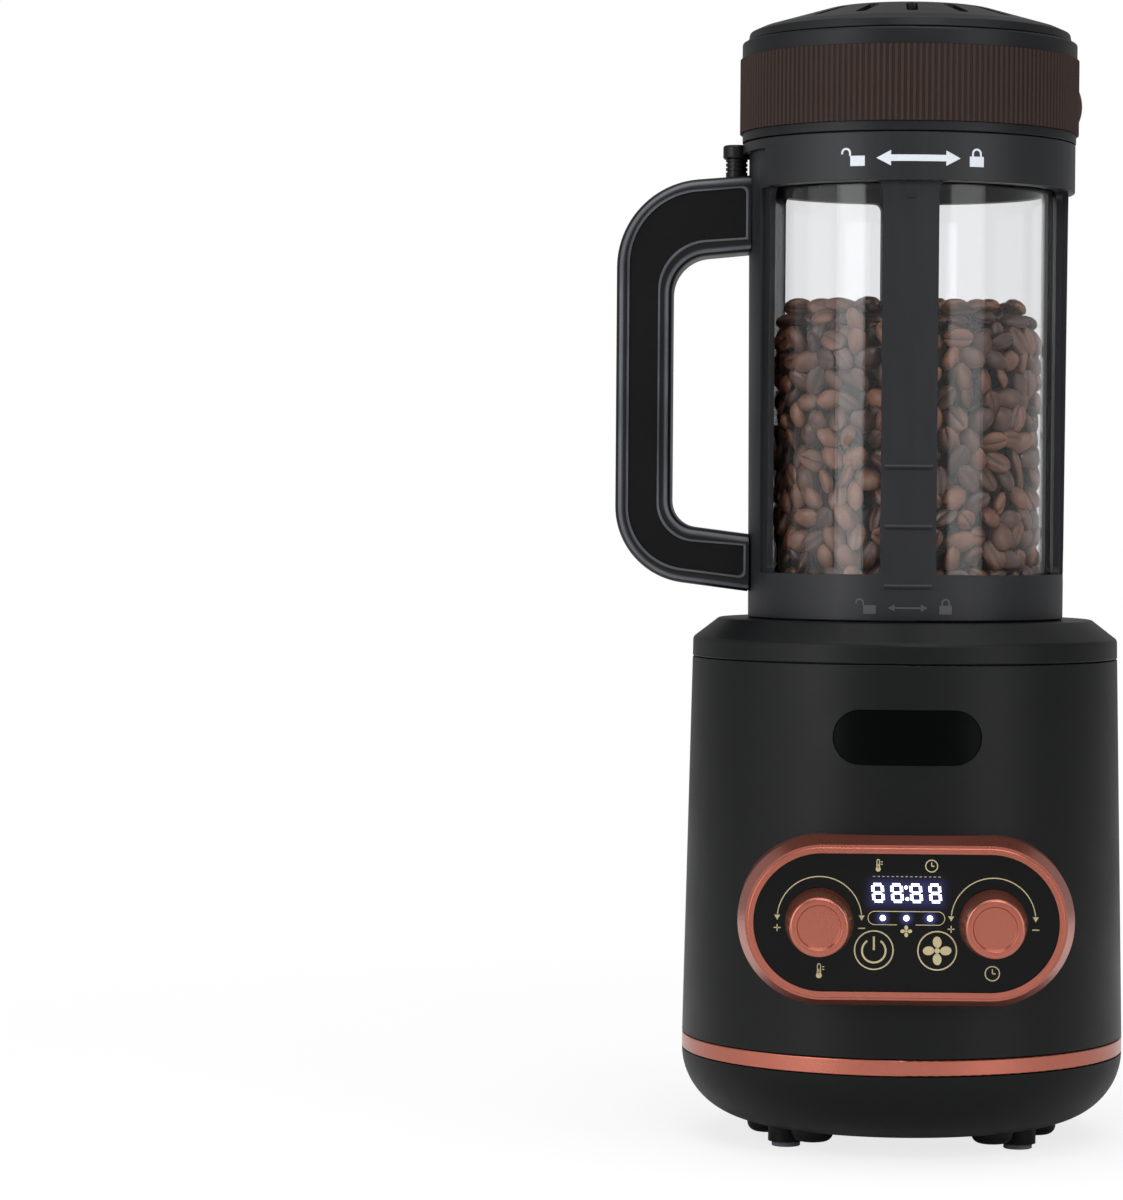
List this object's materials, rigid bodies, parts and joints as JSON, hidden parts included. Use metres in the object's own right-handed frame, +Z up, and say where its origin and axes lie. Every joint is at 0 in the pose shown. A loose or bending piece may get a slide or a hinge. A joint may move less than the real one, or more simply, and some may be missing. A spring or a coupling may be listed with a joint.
{
  "type": "home coffee bean roaster",
  "caption": "Countertop hot-air coffee bean roaster with a two-dial panel, a handled glass jug and a ribbed twist-lock chaff lid.",
  "frame": {"origin": "on the surface that the feet stand on, under the axis of the round body", "axes": "+Z up, the control panel faces -Y, the handle points to -X"},
  "size_m": [0.1738, 0.1822, 0.3828],
  "materials": {
    "black_shell": "matte",
    "black_gloss": "glossy",
    "graphite": "satin",
    "copper_trim": "satin",
    "brown_grip": "matte",
    "grey_pad": "matte",
    "silicone": "matte",
    "jug_glass": "clear",
    "panel_black": "glossy",
    "steel": "satin",
    "screw_steel": "satin",
    "spring_steel": "satin",
    "mica": "matte",
    "heating_wire": "matte",
    "board_green": "matte",
    "white_plastic": "matte",
    "lamp_white": "glossy",
    "deck_grey": "matte"
  },
  "bodies": {
    "base": {"base_pan": "black_shell", "foot_pads": "grey_pad", "base_screws": "screw_steel", "intake_mesh": "steel", "copper_band": "copper_trim", "main_housing": "black_shell", "badge_plate": "black_gloss", "top_cover": "black_shell", "socket_ring": "black_shell", "panel_bezel": "copper_trim", "panel_glass": "panel_black", "panel_tray": "black_shell", "control_board": "board_green", "display_module": "lamp_white", "indicator_lamps": "lamp_white", "touch_springs": "spring_steel", "temp_encoder": "steel", "time_encoder": "steel", "fan_deck": "deck_grey", "deck_posts": "deck_grey", "fan_motor": "steel", "motor_screws": "screw_steel", "blower_duct": "deck_grey", "duct_screws": "screw_steel", "heater_tube": "steel", "heater_former": "mica", "heater_coil": "heating_wire", "heat_cutout": "steel", "air_probe": "steel", "power_board": "board_green", "power_parts": "white_plastic", "cord_gland": "black_shell"},
    "temp_dial": {"temp_knob": "copper_trim", "temp_shaft": "steel"},
    "time_dial": {"time_knob": "copper_trim", "time_shaft": "steel"},
    "fan": {"impeller": "deck_grey", "motor_shaft": "steel"},
    "seat": {"seat_ring": "graphite", "seat_gasket": "silicone"},
    "jug": {"jug_cage": "graphite", "glass_cylinder": "jug_glass", "lower_glass_seal": "silicone", "upper_glass_seal": "silicone", "glass_retainer": "black_shell", "air_plate": "steel", "handle_front": "black_shell", "handle_rear": "black_shell", "handle_inlays": "graphite", "handle_screws": "screw_steel"},
    "lid": {"chaff_cup": "graphite", "chimney_cap": "graphite", "lid_seal": "silicone", "chaff_screen": "steel"},
    "lid_lock": {"lock_ring": "black_shell", "grip_ring": "brown_grip", "vent_cap": "black_shell", "cap_disc": "black_gloss"},
    "button": {"lid_button": "black_shell", "button_spring": "spring_steel"}
  },
  "joints": [
    {"name": "temp_turn", "type": "hinge", "parent": "base", "child": "temp_dial", "pos_m": [-0.028, -0.081, 0.0805], "axis": [0, -1, 0], "continuous": true},
    {"name": "time_turn", "type": "hinge", "parent": "base", "child": "time_dial", "pos_m": [0.028, -0.081, 0.0805], "axis": [0, -1, 0], "continuous": true},
    {"name": "fan_spin", "type": "hinge", "parent": "base", "child": "fan", "pos_m": [0, 0, 0.06], "axis": [0, 0, 1], "continuous": true},
    {"name": "jug_twist", "type": "hinge", "parent": "base", "child": "seat", "pos_m": [0, 0, 0.163], "axis": [0, 0, 1], "range_deg": [0, 20]},
    {"name": "jug_lift", "type": "slide", "parent": "seat", "child": "jug", "axis": [0, 0, 1], "range_m": [0, 0.06]},
    {"name": "lid_lift", "type": "slide", "parent": "jug", "child": "lid", "axis": [0, 0, 1], "range_m": [0, 0.06]},
    {"name": "lid_twist", "type": "hinge", "parent": "lid", "child": "lid_lock", "pos_m": [0, 0, 0.3375], "axis": [0, 0, 1], "range_deg": [0, 45]},
    {"name": "button_press", "type": "slide", "parent": "jug", "child": "button", "axis": [0, 0, -1], "range_m": [0, 0.004], "stiffness_N_per_m": 300, "deforming": ["button_spring"]}
  ]
}
